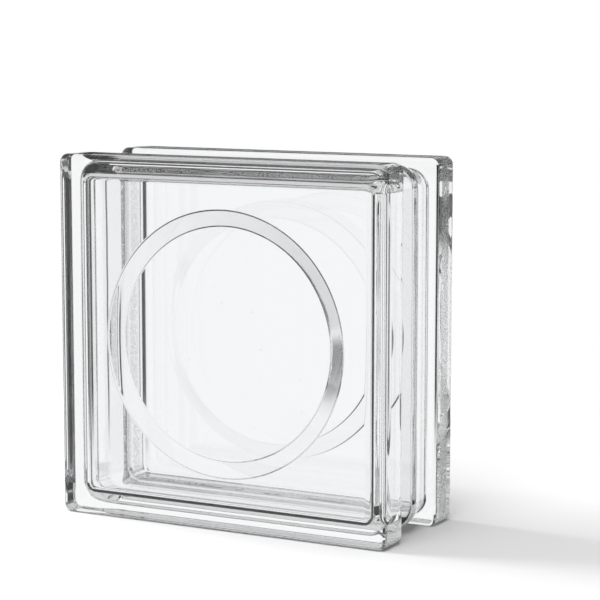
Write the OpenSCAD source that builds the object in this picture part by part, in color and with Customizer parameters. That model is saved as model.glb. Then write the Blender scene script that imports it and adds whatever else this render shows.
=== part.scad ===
// Hollow glass building block: two pressed glass half shells fused into one piece at the mid plane.
// X is the width, Y the depth from face to face and Z the height. The block stands on its lower flanges.

/* [Block] */
// Width across the flanges
block_w = 190; // [170:1:300]
// Height across the flanges
block_h = 190; // [170:1:300]
// Depth from face to face
block_d = 80; // [70:1:120]

/* [Flanges] */
// Thickness of each flange, from its face to its shoulder
flange_t = 21; // [14:0.5:24]
// Radius of the flange's four corners, seen from the front
flange_corner_r = 4.5; // [4:0.5:12]
// Rounding between the face and the side of the flange
face_edge_r = 3; // [1.5:0.5:4]
// Rounding between the side and the shoulder of the flange
shoulder_edge_r = 1.5; // [1:0.5:2]

/* [Mortar groove] */
// Depth of the groove that runs round the block between the flanges
groove_depth = 5.5; // [5:0.5:10]
// Radius of the groove's four corners, seen from the front
groove_corner_r = 10; // [6:0.5:16]
// Fillet between the bottom of the groove and the shoulders
groove_fillet_r = 2; // [1:0.25:2.5]
// Height of the fused seam, a ridge that parts the groove in two, above the bottom of the groove
seam_h = 3.3; // [0.5:0.1:4]
// Width of the fused seam at its foot
seam_w = 5; // [4:0.5:8]

/* [Cavity] */
// Thickness of the two faces
face_t = 10; // [7:0.5:12]
// Thickness of the four walls under the groove, beside the faces
wall_t = 4.6; // [3:0.2:6.6]
// How far the walls lean outwards from the faces to the mid plane, so that each half leaves its mould
wall_draft = 1.2; // [0:0.2:2]
// Radius of the cavity's four corners, seen from the front
cavity_corner_r = 5.5; // [5:0.5:12]
// Fillet between the walls and the faces inside the cavity
cavity_fillet_r = 4; // [2:0.5:5]

/* [Lens] */
// Diameter of the flat top of the round lens, on the inner side of each face
lens_top_d = 120.6; // [80:0.2:130]
// Width of the curved flank round the lens
lens_flank_w = 8.9; // [8:0.1:12]
// Height of the lens above the inner side of the face
lens_h = 5; // [2:0.5:7]

/* [Hidden] */
$fn = 96;

// How far shapes reach past the surfaces that they are cut from or joined to
overlap = 1;

glass_colour = [0.86, 0.93, 0.92];

// Depth of a face, a shoulder and a cavity floor from the mid plane
face_y = block_d / 2;
shoulder_y = face_y - flange_t;
floor_y = face_y - face_t;

// Half sizes of the groove's bottom and the cavity's walls
groove_half_w = block_w / 2 - groove_depth;
groove_half_h = block_h / 2 - groove_depth;
cavity_half_w = groove_half_w - wall_t;
cavity_half_h = groove_half_h - wall_t;

// The seam is a round bead, and this is the radius of its arc
seam_r = (seam_h * seam_h + seam_w * seam_w / 4) / (2 * seam_h);

// The lens's flank is a convex arc that runs into a concave one of the same radius, half way down
lens_top_r = lens_top_d / 2;
flank_middle_r = lens_top_r + lens_flank_w / 2;
flank_arc_r = (lens_flank_w * lens_flank_w + lens_h * lens_h) / (4 * lens_h);

// What is cut off a square corner at the origin, in the first quadrant, to round it inside r
module corner_cut(r) {
    difference() {
        translate([-r, -r]) square(r + overlap);
        translate([-r, -r]) circle(r);
    }
}

// A concave fillet in the corner between the two axes, in the first quadrant
module corner_fillet(r) {
    difference() {
        translate([-overlap, -overlap]) square(r + overlap);
        translate([r, r]) circle(r);
    }
}

// Carries a profile round a rectangle with round corners and fills the middle. The profile's x runs
// outwards from the centre of the corners and its y is the depth, which reaches from low to high.
module rounded_slab(half_w, half_h, corner_r, low, high) {
    straight_w = half_w - corner_r;
    straight_h = half_h - corner_r;
    translate([-straight_w, low, -straight_h])
        cube([2 * straight_w, high - low, 2 * straight_h]);
    for (side = [0, 1]) {
        mirror([side, 0, 0]) translate([straight_w, 0, -straight_h])
            linear_extrude(2 * straight_h) children();
        mirror([0, 0, side]) translate([straight_w, 0, straight_h])
            rotate([0, -90, 0]) linear_extrude(2 * straight_w) children();
        for (end = [0, 1])
            mirror([side, 0, 0]) mirror([0, 0, end]) translate([straight_w, 0, -straight_h])
                rotate([-90, 0, 0]) rotate_extrude(angle = 90) children();
    }
}

// Section of the back flange, outwards from the centre of its corners
module flange_section() {
    difference() {
        translate([0, shoulder_y]) square([flange_corner_r, flange_t]);
        translate([flange_corner_r, face_y]) corner_cut(face_edge_r);
        translate([flange_corner_r, shoulder_y]) mirror([0, 1]) corner_cut(shoulder_edge_r);
    }
}

// Section of the walls between the flanges, with the fused seam and the fillets at the shoulders
module groove_section() {
    reach = shoulder_y + overlap;
    translate([0, -reach]) square([groove_corner_r, 2 * reach]);
    translate([groove_corner_r + seam_h - seam_r, 0]) circle(seam_r);
    for (end = [0, 1])
        mirror([0, end]) translate([groove_corner_r, shoulder_y]) mirror([0, 1])
            corner_fillet(groove_fillet_r);
}

// Section of the cavity, outwards from the centre of its corners, widest at the mid plane
module cavity_section() {
    draft_y = floor_y - cavity_fillet_r;
    difference() {
        translate([0, -floor_y]) square([cavity_corner_r, 2 * floor_y]);
        for (end = [0, 1])
            mirror([0, end]) translate([cavity_corner_r, floor_y]) corner_cut(cavity_fillet_r);
    }
    polygon([[0, -draft_y], [cavity_corner_r, -draft_y], [cavity_corner_r + wall_draft, 0],
             [cavity_corner_r, draft_y], [0, draft_y]]);
}

// Half section of the lens, outwards from its axis and up from the face that it stands on
module lens_section() {
    half_flank = lens_flank_w / 2;
    translate([0, -overlap]) square([lens_top_r, overlap + lens_h]);
    translate([0, -overlap]) square([flank_middle_r, overlap + lens_h / 2]);
    intersection() {
        translate([lens_top_r, 0]) square([half_flank, lens_h]);
        translate([lens_top_r, lens_h - flank_arc_r]) circle(flank_arc_r);
    }
    difference() {
        translate([flank_middle_r, -overlap]) square([half_flank, overlap + lens_h / 2]);
        translate([flank_middle_r + half_flank, flank_arc_r]) circle(flank_arc_r);
    }
}

// The round lens on the inner side of the back face
module lens() {
    translate([0, floor_y, 0]) rotate([90, 0, 0]) rotate_extrude() lens_section();
}

// The sealed air space, with the two lenses standing into it
module cavity() {
    difference() {
        rounded_slab(cavity_half_w, cavity_half_h, cavity_corner_r, -floor_y, floor_y)
            cavity_section();
        for (side = [0, 1]) mirror([0, side, 0]) lens();
    }
}

// The whole block, centred on its mid plane
module centred_block() {
    difference() {
        union() {
            for (side = [0, 1]) mirror([0, side, 0])
                rounded_slab(block_w / 2, block_h / 2, flange_corner_r, shoulder_y, face_y)
                    flange_section();
            rounded_slab(groove_half_w, groove_half_h, groove_corner_r,
                         -shoulder_y - overlap, shoulder_y + overlap)
                groove_section();
        }
        cavity();
    }
}

module glass_block() {
    color(glass_colour) translate([0, 0, block_h / 2]) centred_block();
}

glass_block();
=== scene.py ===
"""Looks of a clear hollow glass block: one pressed and fused glass body, standing in a white studio."""
import logging
import math
import random
from dataclasses import dataclass
from enum import Enum

import bmesh
import bpy
from mathutils import Matrix, Vector, noise


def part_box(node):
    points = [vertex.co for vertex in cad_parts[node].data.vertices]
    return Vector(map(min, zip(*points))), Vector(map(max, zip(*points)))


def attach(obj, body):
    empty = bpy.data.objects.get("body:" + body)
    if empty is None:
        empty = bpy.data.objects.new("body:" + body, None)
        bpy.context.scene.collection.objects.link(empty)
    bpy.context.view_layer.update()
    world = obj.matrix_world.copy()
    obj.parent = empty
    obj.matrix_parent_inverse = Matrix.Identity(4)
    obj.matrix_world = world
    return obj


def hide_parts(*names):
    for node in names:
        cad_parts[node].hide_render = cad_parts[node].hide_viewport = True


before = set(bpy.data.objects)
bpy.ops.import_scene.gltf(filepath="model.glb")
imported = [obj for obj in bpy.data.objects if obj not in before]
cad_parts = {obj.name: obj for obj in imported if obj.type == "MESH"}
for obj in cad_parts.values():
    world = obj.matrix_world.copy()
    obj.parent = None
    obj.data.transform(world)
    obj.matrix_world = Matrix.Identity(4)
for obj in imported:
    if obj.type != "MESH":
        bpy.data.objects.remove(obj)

LOG = logging.getLogger("glass_block")
MM = 0.001
NODE = "glass_block"
PHOTO_SIDE = 600
SENSOR = 36.0
WELD = 1e-7
TINY = 1e-6
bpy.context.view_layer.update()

# A share of the lens's flank, from its flat top outwards, and the slope there in degrees. The slopes are
# eased together until the flank has the lens's height.
FLANK_SLOPES = (
    (0.0, 66.0), (0.04, 66.0), (0.07, 25.0), (0.92, 25.0), (0.95, 66.0), (0.99, 66.0), (1.0, 30.0),
)


class Axis(Enum):
    """The three axes of the part, by their place in a vector."""

    X = 0
    Y = 1
    Z = 2


@dataclass(frozen=True)
class Value:
    """A number socket of a shader that takes part in plain arithmetic."""

    sheet: "NodeSheet"
    socket: bpy.types.NodeSocket

    def __add__(self, other: "Operand") -> "Value":
        """Sum of two values."""
        return self.sheet.math("ADD", self, other)

    def __radd__(self, other: float) -> "Value":
        """Sum with a plain number on the left."""
        return self.sheet.math("ADD", other, self)

    def __sub__(self, other: "Operand") -> "Value":
        """Difference of two values."""
        return self.sheet.math("SUBTRACT", self, other)

    def __rsub__(self, other: float) -> "Value":
        """Difference with a plain number on the left."""
        return self.sheet.math("SUBTRACT", other, self)

    def __mul__(self, other: "Operand") -> "Value":
        """Product of two values."""
        return self.sheet.math("MULTIPLY", self, other)

    def __rmul__(self, other: float) -> "Value":
        """Product with a plain number on the left."""
        return self.sheet.math("MULTIPLY", other, self)

    def __truediv__(self, other: "Operand") -> "Value":
        """Quotient of two values."""
        return self.sheet.math("DIVIDE", self, other)

    def __abs__(self) -> "Value":
        """Size of the value without its sign."""
        return self.sheet.math("ABSOLUTE", self, 0.0)

    def at_least(self, other: "Operand") -> "Value":
        """The larger of two values."""
        return self.sheet.math("MAXIMUM", self, other)

    def root(self) -> "Value":
        """Square root of the value."""
        return self.sheet.math("SQRT", self, 0.0)

    def rise(self, low: float, high: float) -> "Value":
        """Smooth step of the value.

        Args:
            low: where the step leaves 0.
            high: where the step reaches 1.

        Returns:
            A value between 0 and 1.
        """
        step = self.sheet.node("ShaderNodeMapRange", {"interpolation_type": "SMOOTHSTEP"},
                               {"Value": self, "From Min": low, "From Max": high})
        return Value(self.sheet, step.outputs["Result"])


Operand = Value | float


class NodeSheet:
    """One node tree, with short ways to add nodes to it."""

    def __init__(self, tree: bpy.types.NodeTree) -> None:
        """Keep the tree that nodes are added to."""
        self.tree = tree

    def node(self, kind: str, settings: dict | None = None, inputs: dict | None = None) -> bpy.types.Node:
        """Add one node.

        Args:
            kind: the node's type name.
            settings: properties of the node, set first.
            inputs: values or links of its sockets, by name or place.

        Returns:
            The new node.
        """
        made = self.tree.nodes.new(kind)
        for key, setting in (settings or {}).items():
            setattr(made, key, setting)
        for key, given in (inputs or {}).items():
            self.feed(made.inputs[key], given)
        return made

    def feed(self, socket: bpy.types.NodeSocket, given: object) -> None:
        """Link or set one input socket.

        Args:
            socket: the input to fill.
            given: a value, a socket or a plain constant.
        """
        if isinstance(given, Value):
            given = given.socket
        if isinstance(given, bpy.types.NodeSocket):
            self.tree.links.new(given, socket)
        else:
            socket.default_value = given

    def math(self, operation: str, first: Operand, second: Operand) -> Value:
        """Add one Math node.

        Args:
            operation: the node's operation.
            first: its first operand.
            second: its second operand.

        Returns:
            The node's result.
        """
        made = self.node("ShaderNodeMath", {"operation": operation}, {0: first, 1: second})
        return Value(self, made.outputs[0])

    def split(self, vector: bpy.types.NodeSocket) -> list[Value]:
        """The three numbers of a vector socket, in the order of the axes."""
        parts = self.node("ShaderNodeSeparateXYZ", None, {0: vector})
        return [Value(self, parts.outputs[axis.value]) for axis in Axis]

    def path(self, quality: str) -> Value:
        """What the light path says of a ray, held between 0 and 1."""
        return Value(self, self.node("ShaderNodeLightPath").outputs[quality]).rise(0.0, 1.0)

    def noise(self, place: bpy.types.NodeSocket, scale: float, detail: float) -> Value:
        """Fractal noise around one half.

        Args:
            place: the coordinates that the noise follows.
            scale: cells to the metre.
            detail: octaves of finer noise.

        Returns:
            The noise as a value.
        """
        made = self.node("ShaderNodeTexNoise", None, {"Vector": place, "Scale": scale, "Detail": detail})
        return Value(self, made.outputs["Fac"])


@dataclass(frozen=True)
class PressedGlass:
    """Clear pressed glass, polished but for a satin strip on the back flange's rim."""

    name: str = "clear_pressed_glass"
    tint: tuple[float, float, float, float] = (0.952, 0.958, 0.964, 1.0)
    refraction: float = 1.51
    satin_roughness: float = 0.42
    satin_start: float = 5.0 * MM
    satin_start_fade: float = 1.0 * MM
    satin_stop: float = 13.0 * MM
    satin_stop_fade: float = 2.0 * MM
    satin_ragged: float = 3.0 * MM
    rim_inset: float = 0.9 * MM
    grain_scale: float = 900.0
    grain_detail: float = 3.0
    grain_low: float = 0.3
    grain_high: float = 0.55
    ripple_scale: float = 38.0
    ripple_detail: float = 1.0
    ripple_stretch: tuple[float, float, float] = (1.0, 1.0, 0.22)
    ripple_height: float = 0.02 * MM

    def material(self, block: "BlockBody") -> bpy.types.Material:
        """Make the glass.

        Args:
            block: the body that the glass is for, which says where its rim is.

        Returns:
            The finished material.
        """
        made = bpy.data.materials.new(self.name)
        made.use_nodes = True
        sheet = NodeSheet(made.node_tree)
        shader = made.node_tree.nodes["Principled BSDF"]
        place = sheet.node("ShaderNodeTexCoord").outputs["Object"]
        satin = self.satin_mask(sheet, place, block) * self.satin_roughness
        sheet.feed(shader.inputs["Base Color"], self.tint)
        sheet.feed(shader.inputs["IOR"], self.refraction)
        sheet.feed(shader.inputs["Transmission Weight"], 1.0)
        sheet.feed(shader.inputs["Roughness"], satin)
        sheet.feed(shader.inputs["Normal"], self.ripple(sheet, place))
        return made

    def satin_mask(self, sheet: NodeSheet, place: bpy.types.NodeSocket, block: "BlockBody") -> Value:
        """Where the rim is satin: a ragged strip round the back flange, between its shoulder and its face.

        Args:
            sheet: the tree to add to.
            place: object coordinates.
            block: the body with its sizes.

        Returns:
            A mask between 0 and 1.
        """
        across, deep, high = sheet.split(place)
        reach = abs(across).at_least(abs(high - block.half_h) + (block.half_w - block.half_h))
        rim = reach.rise(block.half_w - 2 * self.rim_inset, block.half_w - self.rim_inset)
        grain = sheet.noise(place, self.grain_scale, self.grain_detail)
        level = deep + (grain - 0.5) * self.satin_ragged
        start = self.satin_start - block.shoulder
        stop = self.satin_stop - block.shoulder
        begun = level.rise(start, start + self.satin_start_fade)
        ended = level.rise(stop, stop + self.satin_stop_fade)
        return rim * begun * (1.0 - ended) * grain.rise(self.grain_low, self.grain_high)

    def ripple(self, sheet: NodeSheet, place: bpy.types.NodeSocket) -> bpy.types.NodeSocket:
        """Slow ripples of pressed glass, as a bump.

        Args:
            sheet: the tree to add to.
            place: object coordinates.

        Returns:
            The bumped normal.
        """
        stretched = sheet.node("ShaderNodeMapping", None, {"Vector": place, "Scale": self.ripple_stretch})
        waves = sheet.noise(stretched.outputs[0], self.ripple_scale, self.ripple_detail)
        bump = sheet.node("ShaderNodeBump", None,
                          {"Strength": 1.0, "Distance": self.ripple_height, "Height": waves})
        return bump.outputs["Normal"]


@dataclass(frozen=True)
class Ring:
    """One rounded square of a lofted skin: inset from the block's outline, corner radius and depth."""

    inset: float
    corner: float
    depth: float


@dataclass
class BlockBody:
    """The glass body: two pressed halves with a mortar groove between their flanges, fused round a seam."""

    half_w: float
    half_h: float
    half_d: float
    flange_t: float = 21.0 * MM
    flange_corner_r: float = 4.5 * MM
    face_edge_r: float = 3.0 * MM
    shoulder_edge_r: float = 2.4 * MM
    groove_depth: float = 5.5 * MM
    groove_corner_r: float = 10.0 * MM
    groove_fillet_r: float = 2.0 * MM
    seam_h: float = 3.3 * MM
    seam_round: float = 1.5 * MM
    seam_reach: float = 4.5 * MM
    seam_sway: float = 0.6 * MM
    seam_waves: float = 45.0
    face_t: float = 10.0 * MM
    wall_t: float = 4.6 * MM
    cavity_corner_r: float = 5.5 * MM
    cavity_fillet_r: float = 4.0 * MM
    lens_top_r: float = 60.3 * MM
    lens_flank_w: float = 8.9 * MM
    lens_h: float = 5.0 * MM
    # Distance of the rings that keep the glass flat beside a rounding
    support: float = 0.3 * MM
    # How far a loop is held away while it is joined to the next
    joining_gap: float = 0.125
    round_steps: int = 8
    corner_steps: int = 8
    side_steps: int = 28
    seed_count: int = 16
    seed_draw: int = 11
    seed_spread: float = 0.9
    seed_depth: tuple[float, float] = (0.25, 0.75)
    seed_radius: tuple[float, float] = (0.15 * MM, 0.3 * MM)

    @property
    def ring_count(self) -> int:
        """Points round every ring of the skins."""
        return 4 * (self.corner_steps + self.side_steps)

    @property
    def lens_foot_r(self) -> float:
        """Radius of the lens at its foot."""
        return self.lens_top_r + self.lens_flank_w

    @property
    def shoulder(self) -> float:
        """Depth of the front shoulder, behind the front flange."""
        return self.flange_t - self.half_d

    def quarter(self, steps: int) -> list[tuple[float, float]]:
        """Sine and cosine of evenly spaced angles from 0 to 90 degrees."""
        angles = [math.pi / 2 * k / steps for k in range(steps + 1)]
        return [(math.sin(angle), math.cos(angle)) for angle in angles]

    def outer_rings(self) -> list[Ring]:
        """Work out the outside of the front half.

        Returns:
            Rings from its face to the middle of the seam.
        """
        front, edge, shoulder = -self.half_d, self.face_edge_r, self.shoulder_edge_r
        fillet, groove, back = self.groove_fillet_r, self.groove_depth, self.shoulder
        rims = [(edge + self.support, front)]
        rims += [(edge * (1 - s), front + edge * (1 - c)) for s, c in self.quarter(self.round_steps)]
        rims += [(0.0, front + edge + self.support), (0.0, back - shoulder - self.support)]
        rims += [(shoulder * (1 - c), back - shoulder * (1 - s)) for s, c in self.quarter(self.round_steps)]
        rims += [(shoulder + self.support, back)]
        rings = [Ring(inset, self.flange_corner_r - inset, depth) for inset, depth in rims]
        foot = [(groove - fillet - self.support, back)]
        foot += [(groove - fillet * (1 - s), back + fillet * (1 - c))
                 for s, c in self.quarter(self.round_steps)]
        foot += [(groove - rise, depth) for rise, depth in self.swell()]
        rings += [Ring(inset, self.groove_corner_r + groove - inset, depth) for inset, depth in foot]
        return rings

    def swell(self) -> list[tuple[float, float]]:
        """Work out how the walls swell outwards, inside and outside alike.

        Returns:
            How far they swell and at what depth, from beside the shoulder to the fused seam.
        """
        reach, curl = -self.shoulder - self.groove_fillet_r, self.seam_round
        slope = self.seam_h / (reach - curl)
        curve = [curl * k / self.round_steps for k in range(self.round_steps + 1)]
        near = [(slope * way * way / (2 * curl), way - reach) for way in curve]
        far = [(self.seam_h - slope * way * way / (2 * curl), -way) for way in reversed(curve)]
        ease = self.support * slope
        before = (near[-1][0] + ease, near[-1][1] + self.support)
        after = (far[0][0] - ease, far[0][1] - self.support)
        return near + [before, after] + far

    def inner_rings(self) -> list[Ring]:
        """Work out the cavity's front half.

        Returns:
            Rings from the back of the front plate to the middle of the seam.
        """
        plate, fillet = self.face_t - self.half_d, self.cavity_fillet_r
        wall = self.groove_depth + self.wall_t
        steps = [(wall + fillet + self.support, plate)]
        steps += [(wall + fillet * (1 - s), plate + fillet * (1 - c))
                  for s, c in self.quarter(self.round_steps)]
        steps += [(wall, plate + fillet + self.support)]
        steps += [(wall - rise, depth) for rise, depth in self.swell()]
        return [Ring(inset, self.cavity_corner_r + wall - inset, depth) for inset, depth in steps]

    def add_ring(self, mesh: bmesh.types.BMesh, ring: Ring) -> list[bmesh.types.BMEdge]:
        """Add one rounded square of edges.

        Args:
            mesh: the mesh to add to.
            ring: its inset, corner radius and depth.

        Returns:
            The edges of the ring.
        """
        wide, tall = self.half_w - ring.inset, self.half_h - ring.inset
        corners = [(wide, tall), (-wide, tall), (-wide, -tall), (wide, -tall)]
        verts = [mesh.verts.new((x, ring.depth, self.half_h + z)) for x, z in corners]
        mesh.faces.new(verts)
        bmesh.ops.bevel(mesh, geom=verts, offset=ring.corner, offset_type="OFFSET", affect="VERTICES",
                        profile_type="SUPERELLIPSE", segments=self.corner_steps, profile=0.5, material=-1)
        face = next(iter(mesh.faces))
        sides = sorted(face.edges, key=lambda edge: edge.calc_length())[-4:]
        bmesh.ops.subdivide_edges(mesh, edges=sides, cuts=self.side_steps - 1)
        face = next(iter(mesh.faces))
        edges = list(face.edges)
        bmesh.ops.delete(mesh, geom=[face], context="FACES_ONLY")
        return edges

    def loft(self, mesh: bmesh.types.BMesh, rings: list[Ring]) -> list[list[bmesh.types.BMEdge]]:
        """Add rings and bridge each to the next.

        Args:
            mesh: the mesh to add to.
            rings: the rings in order.

        Returns:
            The edges of the first and the last ring.
        """
        loops = [self.add_ring(mesh, ring) for ring in rings]
        for near, far in zip(loops, loops[1:]):
            self.bridge(mesh, near, far)
        return [loops[0], loops[-1]]

    def bridge(self, mesh: bmesh.types.BMesh, near: list[bmesh.types.BMEdge],
               far: list[bmesh.types.BMEdge]) -> None:
        """Join two loops with faces, holding them apart meanwhile so that they pair up straight.

        Args:
            mesh: the mesh with both loops.
            near: edges of one loop.
            far: edges of the other loop.
        """
        verts = list({vert for edge in far for vert in edge.verts})
        apart = Vector((0.0, self.joining_gap, 0.0))
        bmesh.ops.translate(mesh, verts=verts, vec=apart)
        bmesh.ops.bridge_loops(mesh, edges=near + far)
        bmesh.ops.translate(mesh, verts=verts, vec=-apart)

    def lens_profile(self) -> list[tuple[float, float]]:
        """Work out the lens's section: a flat top, a straight flank with steep edges, then the plate.

        Returns:
            Radius and depth of its points, outwards from the lens's axis.
        """
        plate = self.face_t - self.half_d
        top, steps = plate + self.lens_h, 4 * self.round_steps
        stretch = self.lens_flank_w / steps
        slopes = [math.tan(math.radians(self.flank_slope((k + 0.5) / steps))) for k in range(steps)]
        scale = self.lens_h / sum(slopes)
        points = [(0.0, top), (self.lens_top_r / 2, top), (self.lens_top_r - self.support, top)]
        points += [(self.lens_top_r + stretch * k, top - scale * sum(slopes[:k])) for k in range(steps + 1)]
        points += [(self.lens_foot_r + self.support, plate)]
        return points

    def flank_slope(self, share: float) -> float:
        """Slope of the lens's flank before it is eased to the lens's height.

        Args:
            share: share of the flank's width, from the flat top outwards.

        Returns:
            The slope in degrees.
        """
        for (start, low), (end, high) in zip(FLANK_SLOPES, FLANK_SLOPES[1:]):
            if share <= end:
                return low + (high - low) * (share - start) / (end - start)
        return FLANK_SLOPES[-1][1]

    def add_lens(self, mesh: bmesh.types.BMesh) -> list[bmesh.types.BMEdge]:
        """Spin the lens on the back of the front plate.

        Args:
            mesh: the mesh to add to.

        Returns:
            The edges round the lens's outside.
        """
        verts = [mesh.verts.new((radius, depth, self.half_h)) for radius, depth in self.lens_profile()]
        edges = [mesh.edges.new(pair) for pair in zip(verts, verts[1:])]
        reach = self.lens_foot_r + self.support
        bmesh.ops.spin(mesh, geom=verts + edges, cent=(0.0, 0.0, self.half_h), axis=(0.0, 1.0, 0.0),
                       angle=2 * math.pi, steps=self.ring_count, use_merge=True)
        bmesh.ops.remove_doubles(mesh, verts=mesh.verts[:], dist=WELD)
        middle = Vector((0.0, self.face_t - self.half_d, self.half_h))
        rim = {vert for vert in mesh.verts if abs((vert.co - middle).length - reach) < 10 * WELD}
        return [edge for edge in mesh.edges if edge.is_boundary and all(vert in rim for vert in edge.verts)]

    def outer_skin(self) -> bmesh.types.BMesh:
        """Make the outside of the block.

        Returns:
            A closed mesh with its faces outwards.
        """
        mesh = bmesh.new()
        first, _ = self.loft(mesh, self.outer_rings())
        bmesh.ops.holes_fill(mesh, edges=first, sides=0)
        return self.close(mesh)

    def inner_skin(self) -> bmesh.types.BMesh:
        """Make the cavity with the two lenses.

        Returns:
            A closed mesh with its faces turned into the hollow.
        """
        mesh = bmesh.new()
        self.loft(mesh, self.inner_rings())
        rim = self.add_lens(mesh)
        plate = self.face_t - self.half_d
        first = [edge for edge in mesh.edges if edge.is_boundary and edge not in rim
                 and all(abs(vert.co.y - plate) < WELD for vert in edge.verts)]
        self.bridge(mesh, rim, first)
        mesh = self.close(mesh)
        bmesh.ops.reverse_faces(mesh, faces=mesh.faces[:])
        return mesh

    def close(self, mesh: bmesh.types.BMesh) -> bmesh.types.BMesh:
        """Mirror a front half to the back, weld the two and turn the faces outwards.

        Args:
            mesh: the front half.

        Returns:
            The same mesh, closed.
        """
        bmesh.ops.mirror(mesh, geom=mesh.verts[:] + mesh.edges[:] + mesh.faces[:], axis="Y", merge_dist=WELD)
        bmesh.ops.remove_doubles(mesh, verts=mesh.verts[:], dist=WELD)
        bmesh.ops.recalc_face_normals(mesh, faces=mesh.faces[:])
        return mesh

    def wander(self, mesh: bmesh.types.BMesh) -> None:
        """Let the seam wander a little from the mid plane, as fused glass does.

        Args:
            mesh: a closed skin.
        """
        for vert in mesh.verts:
            near = 1.0 - min(abs(vert.co.y) / self.seam_reach, 1.0)
            if near > 0.0:
                stray = noise.noise(Vector((vert.co.x, 0.0, vert.co.z)) * self.seam_waves)
                vert.co.y += self.seam_sway * stray * near * near * (3.0 - 2.0 * near)

    def add_seeds(self, mesh: bmesh.types.BMesh) -> None:
        """Add a few seeds, the tiny bubbles of pressed glass, inside the plates.

        Args:
            mesh: the body's mesh.
        """
        dice = random.Random(self.seed_draw)
        for _ in range(self.seed_count):
            side = dice.choice((-1.0, 1.0))
            deep = side * (self.half_d - dice.uniform(*self.seed_depth) * self.face_t)
            across = dice.uniform(-self.seed_spread, self.seed_spread) * self.half_w
            high = self.half_h * (1.0 + dice.uniform(-self.seed_spread, self.seed_spread))
            place = Matrix.Translation((across, deep, high))
            radius = dice.uniform(*self.seed_radius)
            made = bmesh.ops.create_icosphere(mesh, subdivisions=2, radius=radius, matrix=place)
            faces = {face for vert in made["verts"] for face in vert.link_faces}
            bmesh.ops.reverse_faces(mesh, faces=list(faces))

    def build(self) -> bpy.types.Object:
        """Join the skins and seeds into the body.

        Returns:
            The body, at the origin.
        """
        outside, inside = self.outer_skin(), self.inner_skin()
        self.wander(outside)
        self.wander(inside)
        self.add_seeds(inside)
        data = bpy.data.meshes.new("glass_block_body")
        spare = bpy.data.meshes.new("cavity")
        inside.to_mesh(spare)
        outside.from_mesh(spare)
        outside.to_mesh(data)
        LOG.info("glass volume %.1f cubic centimetres", outside.calc_volume(signed=True) * 1e6)
        outside.free()
        inside.free()
        bpy.data.meshes.remove(spare)
        for face in data.polygons:
            face.use_smooth = True
        body = bpy.data.objects.new("glass_block_body", data)
        bpy.context.scene.collection.objects.link(body)
        return body

    def dress(self, body: bpy.types.Object, finish: PressedGlass) -> None:
        """Give the body its glass and tie it to the frame.

        Args:
            body: the finished mesh.
            finish: the glass to use.
        """
        body.data.materials.append(finish.material(self))
        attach(body, "root")
        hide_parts(NODE)


@dataclass(frozen=True)
class PaleFloor:
    """A plain pale floor that fades into the studio's light at its rim, and that only the camera sees."""

    radius: float = 0.46
    fade_start: float = 0.34
    segments: int = 96
    colour: float = 0.9
    roughness: float = 0.7
    gloss: float = 0.2

    def build(self) -> bpy.types.Object:
        """Make the floor.

        Returns:
            The floor.
        """
        mesh = bmesh.new()
        bmesh.ops.create_circle(mesh, cap_ends=True, segments=self.segments, radius=self.radius)
        data = bpy.data.meshes.new("floor")
        mesh.to_mesh(data)
        mesh.free()
        floor = bpy.data.objects.new("floor", data)
        bpy.context.scene.collection.objects.link(floor)
        data.materials.append(self.material())
        return floor

    def material(self) -> bpy.types.Material:
        """Make a matt white that turns clear towards the rim and is clear to light that left the glass.

        Returns:
            The finished material.
        """
        made = bpy.data.materials.new("pale_floor")
        made.use_nodes = True
        tree = made.node_tree
        sheet = NodeSheet(tree)
        shader = tree.nodes["Principled BSDF"]
        sheet.feed(shader.inputs["Base Color"], (self.colour, self.colour, self.colour, 1.0))
        sheet.feed(shader.inputs["Roughness"], self.roughness)
        sheet.feed(shader.inputs["Specular IOR Level"], self.gloss)
        across, along, _ = sheet.split(sheet.node("ShaderNodeTexCoord").outputs["Object"])
        away = (across * across + along * along).root()
        unseen = 1.0 - sheet.path("Is Camera Ray")
        hidden = away.rise(self.fade_start, self.radius).at_least(unseen)
        clear = sheet.node("ShaderNodeBsdfTransparent")
        mix = sheet.node("ShaderNodeMixShader", None, {0: hidden, 1: shader.outputs[0], 2: clear.outputs[0]})
        sheet.feed(tree.nodes["Material Output"].inputs["Surface"], mix.outputs[0])
        return made


@dataclass(frozen=True)
class SoftLight:
    """A square soft light that lights the floor and isn't seen in the glass."""

    name: str
    place: tuple[float, float, float]
    aim: tuple[float, float, float]
    side: float
    watts: float

    def build(self) -> None:
        """Add the light to the scene."""
        data = bpy.data.lights.new(self.name, "AREA")
        data.size = self.side
        data.energy = self.watts
        made = bpy.data.objects.new(self.name, data)
        made.visible_glossy = False
        made.visible_transmission = False
        made.location = self.place
        facing = Vector(self.aim) - Vector(self.place)
        made.rotation_euler = facing.to_track_quat("-Z", "Y").to_euler()
        bpy.context.scene.collection.objects.link(made)


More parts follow.
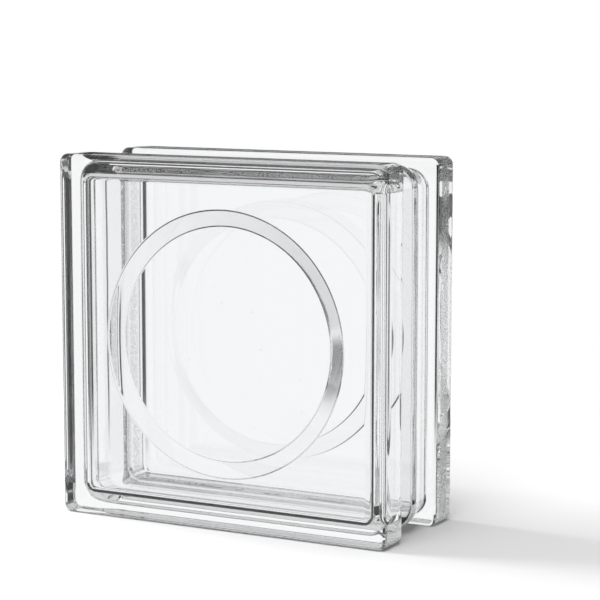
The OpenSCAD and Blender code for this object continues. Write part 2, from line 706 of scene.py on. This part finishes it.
@dataclass(frozen=True)
class Studio:
    """White light behind the block and before it, dark sides, and a panel that only mirrored light meets."""

    back_heading: float = -8.0
    back_half_angle: float = 40.0
    front_heading: float = -130.0
    front_half_angle: float = 52.0
    soften: float = 4.0
    white: float = 1.0
    ambient: float = 0.36
    side: float = 0.015
    overhead: float = 0.7
    # Heights of the surroundings' edges, as the sine of their elevation, and half the width of each soft edge
    gap_sine: float = 0.04
    gap_soft: float = 0.02
    panel_sine: float = 0.15
    panel_soft: float = 0.03
    table_sine: float = -0.19
    table_soft: float = 0.02
    under_sine: float = -0.3
    under_soft: float = 0.04
    glass_bounces: int = 32
    mirror_bounces: int = 16
    floor_bounces: int = 4
    clear_bounces: int = 16
    lights: tuple[SoftLight, ...] = (
        SoftLight("key", (-1.0, -0.1, 1.0), (0.0, 0.0, 0.05), 0.6, 15.0),
        SoftLight("fill", (0.3, -0.9, 1.7), (0.0, 0.0, 0.0), 1.2, 22.0),
    )

    def world(self) -> None:
        """Set the light from all round: each kind of ray meets surroundings of its own."""
        made = bpy.data.worlds.new("studio")
        bpy.context.scene.world = made
        made.use_nodes = True
        tree = made.node_tree
        sheet = NodeSheet(tree)
        across, along, up = sheet.split(sheet.node("ShaderNodeTexCoord").outputs["Generated"])
        level = (1.0 - up * up).at_least(TINY).root()
        behind = self.zone(across / level, along / level, self.back_heading, self.back_half_angle)
        before = self.zone(across / level, along / level, self.front_heading, self.front_half_angle)
        horizon = self.side + (behind + before) * (self.white - self.side)
        # Light that was mirrored in the glass meets a dark gap and a dark underside, and a panel overhead
        gap = self.above(up, self.gap_sine, self.gap_soft)
        panel = self.above(up, self.panel_sine, self.panel_soft)
        under = 1.0 - self.above(up, self.under_sine, self.under_soft)
        room = horizon + gap.at_least(under) * (self.side - horizon) + panel * (self.overhead - self.side)
        # Light that only went through the glass meets a white table instead
        table = 1.0 - self.above(up, self.table_sine, self.table_soft)
        clear = horizon + table * (self.white - horizon)
        glass = clear + sheet.path("Glossy Depth") * (room - clear)
        floor = glass + sheet.path("Diffuse Depth") * (self.ambient - glass)
        shown = floor + sheet.path("Is Camera Ray") * (self.white - floor)
        sheet.feed(tree.nodes["Background"].inputs["Color"], shown)

    def above(self, up: Value, edge: float, soft: float) -> Value:
        """Where a direction points higher than a soft edge.

        Args:
            up: sine of the direction's elevation.
            edge: sine of the edge's elevation.
            soft: half the width of the edge.

        Returns:
            1 above the edge and 0 below it.
        """
        return up.rise(edge - soft, edge + soft)

    def zone(self, across: Value, along: Value, heading: float, half_angle: float) -> Value:
        """Sector of the horizon with soft sides.

        Args:
            across: sine of a direction's heading.
            along: cosine of a direction's heading.
            heading: the middle of the sector, in degrees.
            half_angle: half of its width, in degrees.

        Returns:
            1 inside the sector and 0 outside.
        """
        turn = math.radians(heading)
        facing = across * math.sin(turn) + along * math.cos(turn)
        low = math.cos(math.radians(half_angle + self.soften))
        high = math.cos(math.radians(half_angle - self.soften))
        return facing.rise(low, high)

    def build(self) -> None:
        """Set the world, the lights and how far light is followed through the glass."""
        self.world()
        for light in self.lights:
            light.build()
        bpy.context.scene.view_settings.view_transform = "Standard"
        cycles = bpy.context.scene.cycles
        cycles.max_bounces = self.glass_bounces
        cycles.transmission_bounces = self.glass_bounces
        cycles.glossy_bounces = self.mirror_bounces
        cycles.diffuse_bounces = self.floor_bounces
        cycles.transparent_max_bounces = self.clear_bounces
        cycles.caustics_reflective = True
        cycles.caustics_refractive = True


@dataclass(frozen=True)
class PhotoCamera:
    """The photo's viewing angle, with its focal length in the photo's pixels."""

    azimuth: float = 28.28
    elevation: float = 7.61
    distance: float = 1.0953
    aim: tuple[float, float, float] = (0.02654, 0.0, 0.11605)
    focal_pixels: float = 2129.8
    clip_start: float = 0.01

    def build(self) -> None:
        """Make the scene's camera."""
        around, up = math.radians(self.azimuth), math.radians(self.elevation)
        back = Vector((math.sin(around) * math.cos(up), -math.cos(around) * math.cos(up), math.sin(up)))
        data = bpy.data.cameras.new("camera")
        data.sensor_width = SENSOR
        data.lens = self.focal_pixels * SENSOR / PHOTO_SIDE
        data.clip_start = self.clip_start
        camera = bpy.data.objects.new("camera", data)
        camera.location = Vector(self.aim) + back * self.distance
        camera.rotation_euler = (-back).to_track_quat("-Z", "Y").to_euler()
        bpy.context.scene.collection.objects.link(camera)
        bpy.context.scene.camera = camera


def main() -> None:
    """Build the block, the floor, the light and the camera, and note the sizes."""
    logging.basicConfig(level=logging.INFO, format="%(name)s: %(message)s")
    low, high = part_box(NODE)
    half = (high - low) / 2
    block = BlockBody(half_w=half.x, half_h=half.z, half_d=half.y)
    body = block.build()
    block.dress(body, PressedGlass())
    LOG.info("piece %s, %d faces", body.name, len(body.data.polygons))
    floor = PaleFloor().build()
    LOG.info("stage %s", floor.name)
    Studio().build()
    PhotoCamera().build()


if __name__ == "__main__":
    main()
